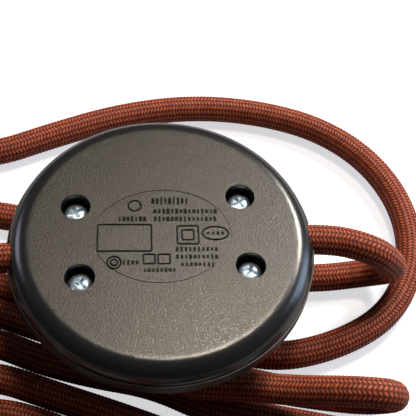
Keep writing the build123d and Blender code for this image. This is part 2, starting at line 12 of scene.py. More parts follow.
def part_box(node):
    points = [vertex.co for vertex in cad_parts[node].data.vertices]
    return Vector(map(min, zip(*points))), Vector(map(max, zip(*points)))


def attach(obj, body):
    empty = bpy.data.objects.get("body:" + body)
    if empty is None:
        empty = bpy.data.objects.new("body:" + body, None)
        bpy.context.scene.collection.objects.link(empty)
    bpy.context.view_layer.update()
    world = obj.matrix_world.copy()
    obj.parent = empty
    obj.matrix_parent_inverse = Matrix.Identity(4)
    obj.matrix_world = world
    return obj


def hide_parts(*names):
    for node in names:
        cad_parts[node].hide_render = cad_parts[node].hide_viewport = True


bl_info = {
    "name": "Lamp foot switch",
    "version": (1, 0, 0),
    "blender": (4, 5, 0),
    "location": "View3D > Sidebar > Foot switch",
    "description": "Builds an in-line foot switch on its braided cord, piece by piece",
    "category": "Add Mesh",
}

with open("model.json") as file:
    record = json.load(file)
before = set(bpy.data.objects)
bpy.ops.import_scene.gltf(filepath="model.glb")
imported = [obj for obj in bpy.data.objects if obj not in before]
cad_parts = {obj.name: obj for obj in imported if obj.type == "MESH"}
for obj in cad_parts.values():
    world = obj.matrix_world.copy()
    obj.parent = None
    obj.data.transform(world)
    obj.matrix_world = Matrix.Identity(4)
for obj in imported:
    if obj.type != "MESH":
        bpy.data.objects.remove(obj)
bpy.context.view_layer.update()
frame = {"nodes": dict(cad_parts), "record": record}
nodes = frame["nodes"]

MM = 0.001
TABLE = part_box("lamp_cord")[0].z
CORD_DIAMETER = 6.5
LOW = TABLE / MM + CORD_DIAMETER / 2
HIGH = LOW + CORD_DIAMETER + 0.2
EXIT_DEPTH = 4.8


def on_table(*places):
    """Points of a cord that lies on the table, from their X and Y."""
    return [(x, y, LOW) for x, y in places]


# Centre line of the lamp lead in millimetres, from inside the housing to its bare end
LAMP_ROUTE = [
    (20.8, 0, -EXIT_DEPTH), (35.2, 0, -EXIT_DEPTH), (45.4, -3.7, -5.5), (50.7, -3.7, -12.4),
    (52.1, -0.4, -20.0),
    *on_table(
        (47.6, 2.3), (36.2, 1.7), (20.0, 3.6), (2.5, 9.8), (-14.5, 16.8), (-29.0, 23.1),
        (-41.5, 26.2), (-53.0, 23.6), (-65.5, 22.6), (-76.0, 28.4), (-79.0, 39.6), (-71.5, 48.6),
        (-59.5, 49.6), (-48.0, 44.6), (-37.0, 42.3), (-22.0, 47.6), (-5.0, 52.6), (13.0, 54.3),
        (30.5, 51.3), (45.5, 44.6), (56.2, 33.2), (61.2, 18.4), (59.6, 3.2), (51.4, -9.2),
        (37.5, -15.8), (22.0, -17.6), (8.0, -10.6), (-6.0, -4.4), (-20.5, -0.9), (-35.3, 5.5),
        (-46.0, 10.4), (-58.0, 14.2), (-72.0, 15.8), (-86.0, 14.4), (-97.0, 6.4), (-101.0, -6.5),
        (-97.5, -19.5), (-87.0, -27.6), (-73.5, -28.2), (-61.0, -22.4), (-49.0, -15.6), (-36.5, -16.2),
        (-24.0, -22.2), (-11.5, -27.8), (2.0, -34.4), (15.0, -41.2), (28.0, -49.2), (36.6, -58.2),
        (43.4, -66.2), (53.0, -70.6), (63.8, -66.6), (67.8, -55.8), (63.0, -45.4), (53.6, -39.9),
        (43.6, -38.2), (32.0, -34.6), (19.5, -31.0), (8.0, -28.0), (-3.0, -21.2), (-16.0, -17.6),
        (-27.0, -13.4), (-36.0, -8.4), (-45.5, -6.6), (-54.5, -9.2), (-62.5, -13.6), (-71.5, -19.4),
        (-82.8, -19.6), (-91.2, -11.6), (-91.2, 0.0), (-82.5, 7.2), (-70.5, 7.4), (-58.5, 3.6),
        (-46.5, 1.8), (-35.4, -1.2), (-23.0, -7.4), (-9.5, -11.6), (4.5, -17.0), (15.5, -22.0),
        (25.0, -25.2), (34.0, -27.4), (41.6, -28.9),
    ),
    (46.0, -30.5, -22.0), (46.0, -32.3, -16.6), (42.0, -33.3, -12.4), (35.0, -32.0, -12.8),
    (26.0, -29.3, -16.8), (15.5, -26.4, HIGH), (4.5, -25.2, HIGH), (-6.5, -20.8, HIGH),
]

# Centre line of the supply lead, from inside the housing to the coil
SUPPLY_ROUTE = [
    (-20.8, 0, -EXIT_DEPTH), (-35.2, 0, -EXIT_DEPTH), (-47.0, 1.8, -7.0), (-58.0, 3.0, -12.4),
    (-69.0, 3.6, -17.2), (-81.0, 2.6, HIGH), (-92.0, -0.6, HIGH + 0.5),
    (-102.0, -6.0, HIGH + 0.1), (-107.8, -15.2, -22.0),
    *on_table(
        (-110.2, -26.8), (-106.0, -38.2), (-96.4, -44.0), (-84.8, -43.6), (-73.0, -38.4), (-61.0, -31.0),
        (-48.5, -25.2), (-36.5, -24.4), (-25.6, -28.6), (-17.2, -33.8), (-12.6, -39.8), (-10.6, -45.9),
    ),
]

# The plug: the middle of its rear end, its turn on the table and its sizes
PLUG_REAR = (6.0, -67.3)
PLUG_TURN = math.radians(-41.0)
PLUG_LENGTH = 36.0
PLUG_THICKNESS = 13.7
PLUG_PIN_SLEEVE = 10.0

# The end of the supply lead, from the coil into the plug
PLUG_LEAD_ROUTE = [
    (-11.4, -50.1, HIGH), (-5.1, -56.2, HIGH - 0.9), (0.9, -62.1, HIGH - 2.0),
    (7.1, -68.3, TABLE / MM + PLUG_THICKNESS / 2),
]

# The coil: two turns that spiral inwards on the table, and a third that lies in the groove between them
COIL_CENTER = (-42.0, -71.5)
COIL_STEPS = 16
COIL_TURNS = 3
COIL_TABLE_TURNS = 2
COIL_OUTSIDE = 38.4
COIL_STEP = CORD_DIAMETER * 1.02
COIL_SUNK = 0.9
COIL_TOP = HIGH - COIL_SUNK
COIL_START_SWELL = 2.1
COIL_START_SHARE = 5
COIL_CLIMB_TURNS = 0.2
COIL_SHIFT_TURNS = 0.3
COIL_LEAVE_FROM = 0.72
COIL_LEAVE_TURNS = 0.28
COIL_LEAVE_RADIUS = 37.3
COIL_START_ANGLE = math.atan2(SUPPLY_ROUTE[-1][1] - COIL_CENTER[1], SUPPLY_ROUTE[-1][0] - COIL_CENTER[0])

# The stage: the lamps' name, place and size in millimetres, power setting and its share, and colour
SENSOR_WIDTH = 36.0
CLIP_NEAR = 10 * MM
CLIP_FAR = 20.0
TABLE_REACH = 1.6
SKY_COLOUR = (0.80, 0.84, 1.0)
WHITE = (1, 1, 1)
LAMP_AIM = (0, 0, -10)
LAMPS = (
    ("high_key", (92, 190, 562), (110, 110), "key_power", 0.37, (1.0, 0.88, 0.72)),
    ("side_key", (340, 310, 400), (170, 170), "key_power", 0.7, (1.0, 0.93, 0.84)),
    ("left_fill", (-380, 260, 200), (160, 160), "fill_power", 0.5, (0.72, 0.76, 1.0)),
    ("right_fill", (420, 60, 120), (160, 240), "fill_power", 1.0, (0.56, 0.74, 1.0)),
)

# Mouldings: points this near are one, edges flatter than this go, and edges sharper than this are rounded
MERGE_DISTANCE = 1e-6
FLAT_EDGE = math.radians(0.5)
ROUNDED_EDGE = math.radians(32)


class Value:
    """A number socket of a node tree that takes Python's arithmetic."""

    def __init__(self, tree, socket):
        self.tree = tree
        self.socket = socket

    def maths(self, operation, *others):
        """A Math node on this number and the others, in order."""
        made = self.tree.node("ShaderNodeMath", {"operation": operation}, dict(enumerate((self, *others))))
        return Value(self.tree, made.outputs[0])

    def __add__(self, other):
        return self.maths("ADD", other)

    __radd__ = __add__

    def __sub__(self, other):
        return self.maths("SUBTRACT", other)

    def __rsub__(self, other):
        made = self.tree.node("ShaderNodeMath", {"operation": "SUBTRACT"}, {0: other, 1: self})
        return Value(self.tree, made.outputs[0])

    def __mul__(self, other):
        return self.maths("MULTIPLY", other)

    __rmul__ = __mul__

    def __truediv__(self, other):
        return self.maths("DIVIDE", other)

    def __pow__(self, other):
        return self.maths("POWER", other)

    def __mod__(self, other):
        return self.maths("FLOORED_MODULO", other)

    def __lt__(self, other):
        return self.maths("LESS_THAN", other)

    def __abs__(self):
        return self.maths("ABSOLUTE")

    def whole(self):
        return self.maths("FLOOR")

    def sine(self):
        return self.maths("SINE")


class Tree:
    """Adds nodes to one shader or geometry tree."""

    def __init__(self, tree):
        self.tree = tree

    def node(self, kind, settings=None, values=None):
        """A node of any type: its settings first, then the values or links of its sockets."""
        made = self.tree.nodes.new(kind)
        for name, value in (settings or {}).items():
            if name == "stops":
                ramp = made.color_ramp.elements
                while len(ramp) < len(value):
                    ramp.new(1.0)
                for stop, (place, colour) in zip(ramp, value):
                    stop.position = place
                    stop.color = (*colour, 1)
            else:
                setattr(made, name, value)
        for key, value in (values or {}).items():
            socket = made.inputs[key]
            if isinstance(value, Value):
                self.tree.links.new(value.socket, socket)
            elif isinstance(value, bpy.types.NodeSocket):
                self.tree.links.new(value, socket)
            else:
                socket.default_value = value
        return made

    def first(self, kind, settings=None, values=None):
        """The first output of a new node."""
        return self.node(kind, settings, values).outputs[0]

    def number(self, kind, settings=None, values=None, output=0):
        """An output of a new node as a number for arithmetic."""
        return Value(self, self.node(kind, settings, values).outputs[output])

    def mix(self, factor, first, second):
        """A colour between two, each a colour or a link."""
        values = {0: factor}
        for socket, colour in ((6, first), (7, second)):
            values[socket] = (*colour, 1) if isinstance(colour, (tuple, list)) else colour
        return self.node("ShaderNodeMix", {"data_type": "RGBA"}, values).outputs[2]

    def vector(self, x=0.0, y=0.0, z=0.0):
        return self.first("ShaderNodeCombineXYZ", {}, {0: x, 1: y, 2: z})

    def vector_maths(self, operation, values):
        return self.first("ShaderNodeVectorMath", {"operation": operation}, values)

    def parts(self, vector):
        """The three numbers of a vector."""
        return [Value(self, output) for output in self.node("ShaderNodeSeparateXYZ", {}, {0: vector}).outputs]


class Finish(Tree):
    """A material's shader tree."""

    def __init__(self, name):
        self.material = bpy.data.materials.new(name)
        self.material.use_nodes = True
        super().__init__(self.material.node_tree)
        self.tree.nodes.clear()

    def place(self):
        """The point's place on the object."""
        return self.node("ShaderNodeTexCoord").outputs["Object"]

    def noise(self, scale, detail=2.0, rough=0.5):
        values = {"Vector": self.place(), "Scale": scale, "Detail": detail, "Roughness": rough}
        return self.number("ShaderNodeTexNoise", {}, values)

    def smooth(self, value, start, end):
        """0 before start, 1 after end, eased between them."""
        values = {"Value": value, "From Min": start, "From Max": end}
        return self.number("ShaderNodeMapRange", {"interpolation_type": "SMOOTHSTEP"}, values)

    def shades(self, factor, colour, low, high):
        """A colour between a darker and a lighter share of itself."""
        return self.mix(factor, *(tuple(min(1.0, c * share) for c in colour) for share in (low, high)))

    def bump(self, height, distance):
        return self.first("ShaderNodeBump", {}, {"Height": height, "Distance": distance})

    def close(self, **sockets):
        """Ends the tree in a Principled shader. Keys are socket names, with _ for a space."""
        values = {key.replace("_", " "): value for key, value in sockets.items()}
        shader = self.node("ShaderNodeBsdfPrincipled", {}, values)
        self.node("ShaderNodeOutputMaterial", {}, {"Surface": shader.outputs[0]})
        return self.material


class Shape(Tree):
    """A geometry tree with named inputs, put on an object as a modifier."""

    KINDS = {float: "NodeSocketFloat", int: "NodeSocketInt", bpy.types.Material: "NodeSocketMaterial"}

    def __init__(self, name, **inputs):
        super().__init__(bpy.data.node_groups.new(name, "GeometryNodeTree"))
        self.tree.interface.new_socket("Geometry", in_out="INPUT", socket_type="NodeSocketGeometry")
        self.tree.interface.new_socket("Geometry", in_out="OUTPUT", socket_type="NodeSocketGeometry")
        self.sizes = {}
        for key, value in inputs.items():
            title = key.replace("_", " ").capitalize()
            kind = self.KINDS[type(value)]
            socket = self.tree.interface.new_socket(title, in_out="INPUT", socket_type=kind)
            self.sizes[socket.identifier] = value
        self.group = self.tree.nodes.new("NodeGroupInput")
        self.given = self.group.outputs["Geometry"]

    def size(self, title):
        """An input of the tree as a number."""
        return Value(self, self.group.outputs[title])

    def random(self, low, high, seed):
        """A number drawn for each point."""
        return self.number("FunctionNodeRandomValue", {"data_type": "FLOAT"}, {2: low, 3: high, 8: seed}, 1)

    def store(self, geometry, name, value, kind="FLOAT", domain="POINT"):
        """The geometry with a named value on each of its points or corners."""
        return self.first(
            "GeometryNodeStoreNamedAttribute", {"data_type": kind, "domain": domain},
            {"Geometry": geometry, "Name": name, "Value": value},
        )

    def stored(self, name, kind="FLOAT"):
        return self.first("GeometryNodeInputNamedAttribute", {"data_type": kind}, {"Name": name})

    def edges_as_curve(self):
        return self.first("GeometryNodeMeshToCurve", {}, {"Mesh": self.given})

    def resampled(self, curve, mode, amount):
        """A curve's points set anew, by their LENGTH apart or by their COUNT."""
        values = {"Curve": curve, mode.capitalize(): amount}
        return self.first("GeometryNodeResampleCurve", {"mode": mode}, values)

    def rectangle(self, width, height):
        """A profile to sweep along a line."""
        values = {"Width": width, "Height": height}
        return self.first("GeometryNodeCurvePrimitiveQuadrilateral", {"mode": "RECTANGLE"}, values)

    def sweep(self, line, profile, scale=1.0, caps=False):
        """A profile swept along a line."""
        values = {"Curve": line, "Profile Curve": profile, "Scale": scale, "Fill Caps": caps}
        return self.first("GeometryNodeCurveToMesh", {}, values)

    def copies(self, points, instance, **values):
        """An instance on each point, with a Rotation or a Scale."""
        values.update(Points=points, Instance=instance)
        return self.first("GeometryNodeInstanceOnPoints", {}, values)

    def finish(self, geometry):
        """Realizes what the tree made and gives it its material."""
        real = self.first("GeometryNodeRealizeInstances", {}, {"Geometry": geometry})
        values = {"Geometry": real, "Material": self.group.outputs["Material"]}
        painted = self.first("GeometryNodeSetMaterial", {}, values)
        self.node("NodeGroupOutput", {}, {"Geometry": painted})

    def on(self, thing, name):
        """The plain mesh object that this tree makes of a thing, which is then removed."""
        modifier = thing.modifiers.new(self.tree.name, "NODES")
        modifier.node_group = self.tree
        for identifier, value in self.sizes.items():
            modifier[identifier] = value
        graph = bpy.context.evaluated_depsgraph_get()
        mesh = bpy.data.meshes.new_from_object(
            thing.evaluated_get(graph), preserve_all_data_layers=True, depsgraph=graph
        )
        bpy.data.objects.remove(thing)
        return linked(name, mesh)


def linked(name, data):
    """A new object in the scene."""
    thing = bpy.data.objects.new(name, data)
    bpy.context.scene.collection.objects.link(thing)
    return thing


def settle(piece, body, slot, *stood_for):
    """Puts a finished piece on its CAD body."""
    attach(piece, body)
    if stood_for:
        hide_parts(*stood_for)
    return piece


def paint(mesh, material):
    """Gives a whole mesh one material."""
    mesh.materials.clear()
    mesh.materials.append(material)


def moulded(node, name, material, edge, body="housing", slot="black_plastic"):
    """A merged copy of a CAD node with softened edges, which stands for it."""
    mesh = nodes[node].data.copy()
    work = bmesh.new()
    work.from_mesh(mesh)
    bmesh.ops.remove_doubles(work, verts=work.verts, dist=MERGE_DISTANCE)
    bmesh.ops.dissolve_limit(work, angle_limit=FLAT_EDGE, verts=work.verts, edges=work.edges)
    for face in work.faces:
        face.smooth = True
    work.to_mesh(mesh)
    work.free()
    for layer in [a.name for a in mesh.attributes if a.name in ("sharp_edge", "custom_normal", "sharp_face")]:
        mesh.attributes.remove(mesh.attributes[layer])
    paint(mesh, material)
    piece = linked(name, mesh)
    soft = piece.modifiers.new("Soft edges", "BEVEL")
    soft.width = edge * MM
    soft.segments = 2
    soft.limit_method = "ANGLE"
    soft.angle_limit = ROUNDED_EDGE
    normals = piece.modifiers.new("Even normals", "WEIGHTED_NORMAL")
    normals.keep_sharp = False
    return settle(piece, body, slot, node)


def grained_base(settings):
    """Finely grained black moulding: its flat face is grained, its edge and the bores are smooth and dark."""
    finish = Finish("grained_base")
    x, y, z = finish.parts(finish.place())
    radius = (x * x + y * y) ** 0.5
    fade_start, fade_end = settings.face_radius - 0.6, settings.face_radius + 1.3
    bore_start, bore_end = 0.25, 0.6
    face = 1 - finish.smooth(radius, fade_start * MM, fade_end * MM)
    sunk = finish.smooth(0 - z, bore_start * MM, bore_end * MM)
    flat = face * (1 - sunk)
    coarse = finish.noise(settings.grain_scale, 2.0, 0.6)
    fine = finish.noise(settings.grain_scale * 2.1, 1.0)
    cloud = finish.noise(45.0, 2.0)
    grain = finish.smooth(coarse * 0.6 + fine * 0.4, 0.42, 0.6)
    tone = finish.shades(grain, settings.face_colour, 0.1, 2.3)
    colour = finish.mix(flat, tuple(settings.edge_colour), tone)
    rough = 0.22 + flat * 0.14 - grain * flat * 0.14 + cloud * 0.04
    normal = finish.bump(grain * flat, 0.019 * MM)
    return finish.close(Base_Color=colour, Roughness=rough, Normal=normal, Specular_IOR_Level=0.5)


def satin_plastic(name, colour, rough, grain_scale, depth, shine=0.4):
    """Plain moulding with a faint grain."""
    finish = Finish(name)
    grain = finish.noise(grain_scale, 2.0)
    cloud = finish.noise(60.0, 2.0)
    tone = finish.shades(cloud, colour, 0.8, 1.25)
    normal = finish.bump(grain, depth * MM)
    rough = rough + cloud * 0.08
    return finish.close(Base_Color=tone, Roughness=rough, Normal=normal, Specular_IOR_Level=shine)


def bright_metal(name, colour, rough):
    """Plated metal with fine turning marks and faint stains."""
    finish = Finish(name)
    marks = finish.noise(900.0, 3.0, 0.6)
    stain = finish.noise(350.0, 2.0)
    tone = finish.shades(stain, colour, 0.82, 1.06)
    normal = finish.bump(marks, 0.006 * MM)
    return finish.close(Base_Color=tone, Metallic=1.0, Roughness=rough + stain * 0.12, Normal=normal)


def along_plug(finish):
    """How far a point lies along the plug from its rear, and its height."""
    x, y, z = finish.parts(finish.place())
    far = (x - PLUG_REAR[0] * MM) * math.cos(PLUG_TURN) + (y - PLUG_REAR[1] * MM) * math.sin(PLUG_TURN)
    return far, z


def plug_moulding():
    """Black moulding with a parting line round its middle."""
    finish = Finish("plug_moulding")
    height = along_plug(finish)[1]
    middle = TABLE + PLUG_THICKNESS / 2 * MM
    line = finish.smooth(abs(height - middle), 0.06 * MM, 0.22 * MM)
    grain = finish.noise(2400.0, 2.0)
    cloud = finish.noise(90.0, 2.0)
    tone = finish.mix(cloud, (0.009, 0.009, 0.010), (0.016, 0.016, 0.017))
    normal = finish.bump(line * 3.0 + grain * 0.3, 0.05 * MM)
    return finish.close(Base_Color=tone, Roughness=0.4 + cloud * 0.1, Normal=normal, Specular_IOR_Level=0.4)


def pin_plating():
    """Bright plated pins with a black sleeve next to the plug."""
    finish = Finish("sleeved_pins")
    far = along_plug(finish)[0]
    edge = (PLUG_LENGTH + PLUG_PIN_SLEEVE) * MM
    bare = finish.smooth(far, edge - 0.05 * MM, edge + 0.05 * MM)
    stain = finish.noise(350.0, 2.0)
    plate = finish.mix(stain, (0.66, 0.65, 0.61), (0.80, 0.79, 0.75))
    tone = finish.mix(bare, (0.012, 0.012, 0.013), plate)
    normal = finish.bump(bare, -0.1 * MM)
    rough = 0.42 - bare * 0.22 + stain * 0.06
    return finish.close(Base_Color=tone, Metallic=bare, Roughness=rough, Normal=normal)


def textile(settings):
    """Braided rayon sheath: slanted floats of fine threads, with painted shade where they tuck under each
    other and a painted highlight on their crowns.
    """
    finish = Finish("braided_rayon")
    wrap = finish.first("ShaderNodeUVMap", {"uv_map": "UVMap"})
    column, pick = finish.parts(wrap)[:2]
    across = column % 1.0
    along = pick % 1.0
    crown = (along * math.pi).sine()
    middle = (across * math.pi).sine()
    threads = ((along * (2 * math.pi * settings.threads)).sine() + 1) * 0.5
    spot = finish.vector(column.whole(), pick.whole(), 3.0)
    shade = finish.number("ShaderNodeTexWhiteNoise", {"noise_dimensions": "3D"}, {"Vector": spot})
    wear = finish.noise(260.0, 3.0, 0.6)
    fluff = finish.noise(4200.0, 2.0, 0.6)
    # Lightness follows the float's height: painted shade in the gaps, a painted highlight on the crowns, plus
    # thread lines and random tone
    lift = crown ** 0.7 * (0.35 + 0.65 * middle)
    light = lift * 0.62 + threads * lift * 0.14 + shade * 0.12 + fluff * 0.1 + wear * 0.1
    dark, mid, bright = (tuple(c) for c in (settings.dark, settings.mid, settings.bright))
    # Stops: painted shade (dark), the braid's own colour (mid), painted highlight (bright)
    stops = [(0.12, dark), (0.52, mid), (0.95, bright)]
    colour = finish.first("ShaderNodeValToRGB", {"stops": stops}, {0: light})
    height = lift * 0.7 + threads * 0.16 + fluff * 0.12
    normal = finish.bump(height, 0.13 * MM)
    return finish.close(
        Base_Color=colour,
        Roughness=0.46 + (1 - lift) * 0.3,
        Normal=normal,
        Specular_IOR_Level=0.18,
        Sheen_Weight=0.03,
        Sheen_Tint=(0.9, 0.5, 0.35, 1),
    )


def studio_floor(settings):
    """Pale table that shows almost white to the camera and still keeps the shadows."""
    finish = Finish("studio_floor")
    rays = finish.node("ShaderNodeLightPath")
    seen, through = (Value(finish, rays.outputs[name]) for name in ("Is Camera Ray", "Is Transmission Ray"))
    shown = (seen + through) * settings.floor_glow
    cloud = finish.noise(6.0, 2.0)
    tone = finish.mix(cloud, (0.44, 0.44, 0.46), (0.48, 0.48, 0.49))
    return finish.close(
        Base_Color=tone, Roughness=0.75, Emission_Color=(0.97, 0.97, 1.0, 1), Emission_Strength=shown
    )


class StageSettings(bpy.types.PropertyGroup):
    """Camera, lamps and table."""

    camera_place: FloatVectorProperty(
        name="Camera place", description="Where the camera stands, in mm", size=3,
        default=(-15.72, -116.75, 184.4),
    )
    camera_aim: FloatVectorProperty(
        name="Camera aim", description="The point of the base face at the picture's centre, in mm",
        size=3, default=(10.2, 6.09, 0.0),
    )
    camera_roll: FloatProperty(
        name="Camera roll", description="Turn about the line of sight",
        default=math.radians(6.33), subtype="ANGLE",
    )
    lens: FloatProperty(
        name="Lens", description="Focal length for a sensor 36 mm wide", default=92.08, unit="CAMERA"
    )
    key_power: FloatProperty(
        name="Key power", description="Power of the two lamps behind", default=6.0, unit="POWER"
    )
    fill_power: FloatProperty(
        name="Fill power", description="Power of the cool lamps at the sides", default=0.8, unit="POWER"
    )
    sky: FloatProperty(name="Sky", description="Strength of the even light all round", default=0.05)
    floor_glow: FloatProperty(
        name="Floor glow", description="How bright the table shows to the camera by itself", default=0.66
    )


class CordSettings(bpy.types.PropertyGroup):
    """The round textile cord."""

    diameter: FloatProperty(
        name="Diameter", description="Outside width of the cord, in mm", default=CORD_DIAMETER
    )
    pick: FloatProperty(name="Pick", description="Length of one float along the cord, in mm", default=0.82)
    columns: IntProperty(name="Columns", description="Columns of floats round the cord", default=16)
    relief: FloatProperty(name="Relief", description="How far the floats stand up, in mm", default=0.15)
    slant: FloatProperty(
        name="Slant", description="How far a float leans along the cord, in picks", default=0.75
    )
    threads: IntProperty(name="Threads", description="Threads seen in one float", default=4)
    # Painted shade: the gaps between the floats are coloured darker than the braid itself
    dark: FloatVectorProperty(
        name="Dark", description="Colour between the floats",
        size=3, subtype="COLOR", default=(0.033, 0.006, 0.0034),
    )
    mid: FloatVectorProperty(
        name="Middle", description="Colour of the floats",
        size=3, subtype="COLOR", default=(0.14, 0.0235, 0.0112),
    )
    # Painted highlight: the floats' crowns are coloured lighter than the braid itself
    bright: FloatVectorProperty(
        name="Bright", description="Colour of the floats' crowns",
        size=3, subtype="COLOR", default=(0.53, 0.13, 0.054),
    )


class HousingSettings(bpy.types.PropertyGroup):
    """Base, cover and button."""

    face_radius: FloatProperty(
        name="Face radius", description="Radius of the flat grained face, in mm", default=27.2
    )
    grain_scale: FloatProperty(name="Grain scale", description="Grains to a metre", default=2300.0)
    face_colour: FloatVectorProperty(
        name="Face", description="Colour of the grained face",
        size=3, subtype="COLOR", default=(0.014, 0.0117, 0.0098),
    )
    edge_colour: FloatVectorProperty(
        name="Edge", description="Colour of the smooth edge",
        size=3, subtype="COLOR", default=(0.012, 0.012, 0.013),
    )
    soft_edge: FloatProperty(name="Soft edge", description="Width of the rounded edges, in mm", default=0.12)


class ScrewSettings(bpy.types.PropertyGroup):
    """The four housing screws."""

    spacing_x: FloatProperty(
        name="Spacing X", description="Distance between the screws along the cord, in mm", default=34.6
    )
    spacing_y: FloatProperty(
        name="Spacing Y", description="Distance between the screws across the cord, in mm", default=17.0
    )
    head_radius: FloatProperty(name="Head radius", description="Radius of a head, in mm", default=2.45)
    seat: FloatProperty(
        name="Seat", description="Depth of the heads' underside below the face, in mm", default=3.9
    )
    seed: IntProperty(name="Seed", description="Changes how the screws are turned", default=4)
    colour: FloatVectorProperty(
        name="Colour", description="Colour of the plating",
        size=3, subtype="COLOR", default=(0.66, 0.78, 0.88),
    )


class MarkSettings(bpy.types.PropertyGroup):
    """Plain marks inside the oval: a blank frame, rings, nested squares and rows of dashes."""

    height: FloatProperty(name="Height", description="How far the marks stand up, in mm", default=0.09)
    line: FloatProperty(name="Line", description="Width of the marks' lines, in mm", default=0.36)
    pitch: FloatProperty(name="Pitch", description="Distance between the dashes, in mm", default=0.84)
    turn: FloatProperty(
        name="Turn", description="How far the marks are turned on the face",
        default=math.radians(4.3), subtype="ANGLE",
    )
    # Painted shade: the marks are the same plastic as the face, coloured darker for the weaker reflection of
    # their smooth tops
    colour: FloatVectorProperty(
        name="Colour", description="Colour of the marks",
        size=3, subtype="COLOR", default=(0.006, 0.006, 0.007),
    )
    seed: IntProperty(name="Seed", description="Changes the rows of dashes", default=7)


class PlugSettings(bpy.types.PropertyGroup):
    """The flat plug and the tie of the coil."""

    ribs: IntProperty(name="Ribs", description="Grip ribs on the plug", default=5)
    sleeve_length: FloatProperty(
        name="Sleeve length", description="Length of the sleeve of the lead, in mm", default=22.0
    )
    sleeve_ribs: IntProperty(name="Sleeve ribs", description="Ribs of the sleeve of the lead", default=6)
    rib_pitch: FloatProperty(name="Rib pitch", description="Distance between the ribs, in mm", default=2.0)
    tie_width: FloatProperty(
        name="Tie width", description="Width of the strap round the coil, in mm", default=9.0
    )
    tie_thickness: FloatProperty(
        name="Tie thickness", description="Thickness of the strap, in mm", default=0.8
    )
    tie_colour: FloatVectorProperty(
        name="Tie colour", description="Colour of the strap",
        size=3, subtype="COLOR", default=(0.016, 0.016, 0.018),
    )


SETTINGS = {
    "stage": StageSettings,
    "cord": CordSettings,
    "housing": HousingSettings,
    "screws": ScrewSettings,
    "marks": MarkSettings,
    "plug": PlugSettings,
}


def settings_of(context, group):
    """One of the scene's groups of settings."""
    return getattr(context.scene, "foot_switch_" + group)


def area_lamp(name, place, size, power, colour):
    """A rectangular lamp at a place in millimetres, turned to the switch."""
    lamp = bpy.data.lights.new(name, "AREA")
    lamp.shape = "RECTANGLE"
    lamp.size, lamp.size_y = (side * MM for side in size)
    lamp.energy = power
    lamp.color = colour
    thing = linked(name, lamp)
    thing.location = Vector(place) * MM
    thing.rotation_mode = "QUATERNION"
    thing.rotation_quaternion = (Vector(LAMP_AIM) - Vector(place)).to_track_quat("-Z", "Y")


class SWITCH_OT_stage(bpy.types.Operator):
    """Sets the camera, the lamps, the sky and the table"""

    bl_idname = "foot_switch.stage"
    bl_label = "Stage"

    def execute(self, context):
        settings = settings_of(context, "stage")
        context.scene.view_settings.view_transform = "Standard"
        camera = linked("camera", bpy.data.cameras.new("camera"))
        place, aim = Vector(settings.camera_place), Vector(settings.camera_aim)
        camera.location = place * MM
        camera.rotation_mode = "QUATERNION"
        roll = Quaternion((0, 0, 1), settings.camera_roll)
        camera.rotation_quaternion = (aim - place).to_track_quat("-Z", "Y") @ roll
        camera.data.sensor_width = SENSOR_WIDTH
        camera.data.lens = settings.lens
        camera.data.clip_start = CLIP_NEAR
        camera.data.clip_end = CLIP_FAR
        context.scene.camera = camera

        for name, place, size, power, share, colour in LAMPS:
            area_lamp(name, place, size, getattr(settings, power) * share, colour)

        world = bpy.data.worlds.new("sky")
        context.scene.world = world
        world.use_nodes = True
        sky = Tree(world.node_tree)
        sky.tree.nodes.clear()
        rays = sky.node("ShaderNodeLightPath")
        shown = Value(sky, rays.outputs["Is Camera Ray"])
        strength = shown * (1.0 - settings.sky) + settings.sky
        colour = sky.mix(shown, SKY_COLOUR, WHITE)
        light = sky.first("ShaderNodeBackground", {}, {"Color": colour, "Strength": strength})
        sky.node("ShaderNodeOutputWorld", {}, {"Surface": light})

        mesh = bpy.data.meshes.new("table")
        corners = [(x * TABLE_REACH, y * TABLE_REACH, TABLE) for x, y in ((-1, -1), (1, -1), (1, 1), (-1, 1))]
        mesh.from_pydata(corners, [], [(0, 1, 2, 3)])
        paint(mesh, studio_floor(settings))
        linked("table", mesh)
        return {"FINISHED"}


def route_curve(name, route):
    """A cord's centre line: one open NURBS spline through the route."""
    curve = bpy.data.curves.new(name, "CURVE")
    curve.dimensions = "3D"
    curve.resolution_u = 8
    spline = curve.splines.new("NURBS")
    spline.points.add(len(route) - 1)
    for point, place in zip(spline.points, route):
        point.co = (*(c * MM for c in place), 1)
    spline.order_u = 3
    spline.use_endpoint_u = True
    return linked(name, curve)


def points_of(line):
    """The points along a curve's spline."""
    graph = bpy.context.evaluated_depsgraph_get()
    wire = bpy.data.meshes.new_from_object(line.evaluated_get(graph))
    points = [tuple(vertex.co) for vertex in wire.vertices]
    bpy.data.meshes.remove(wire)
    return points


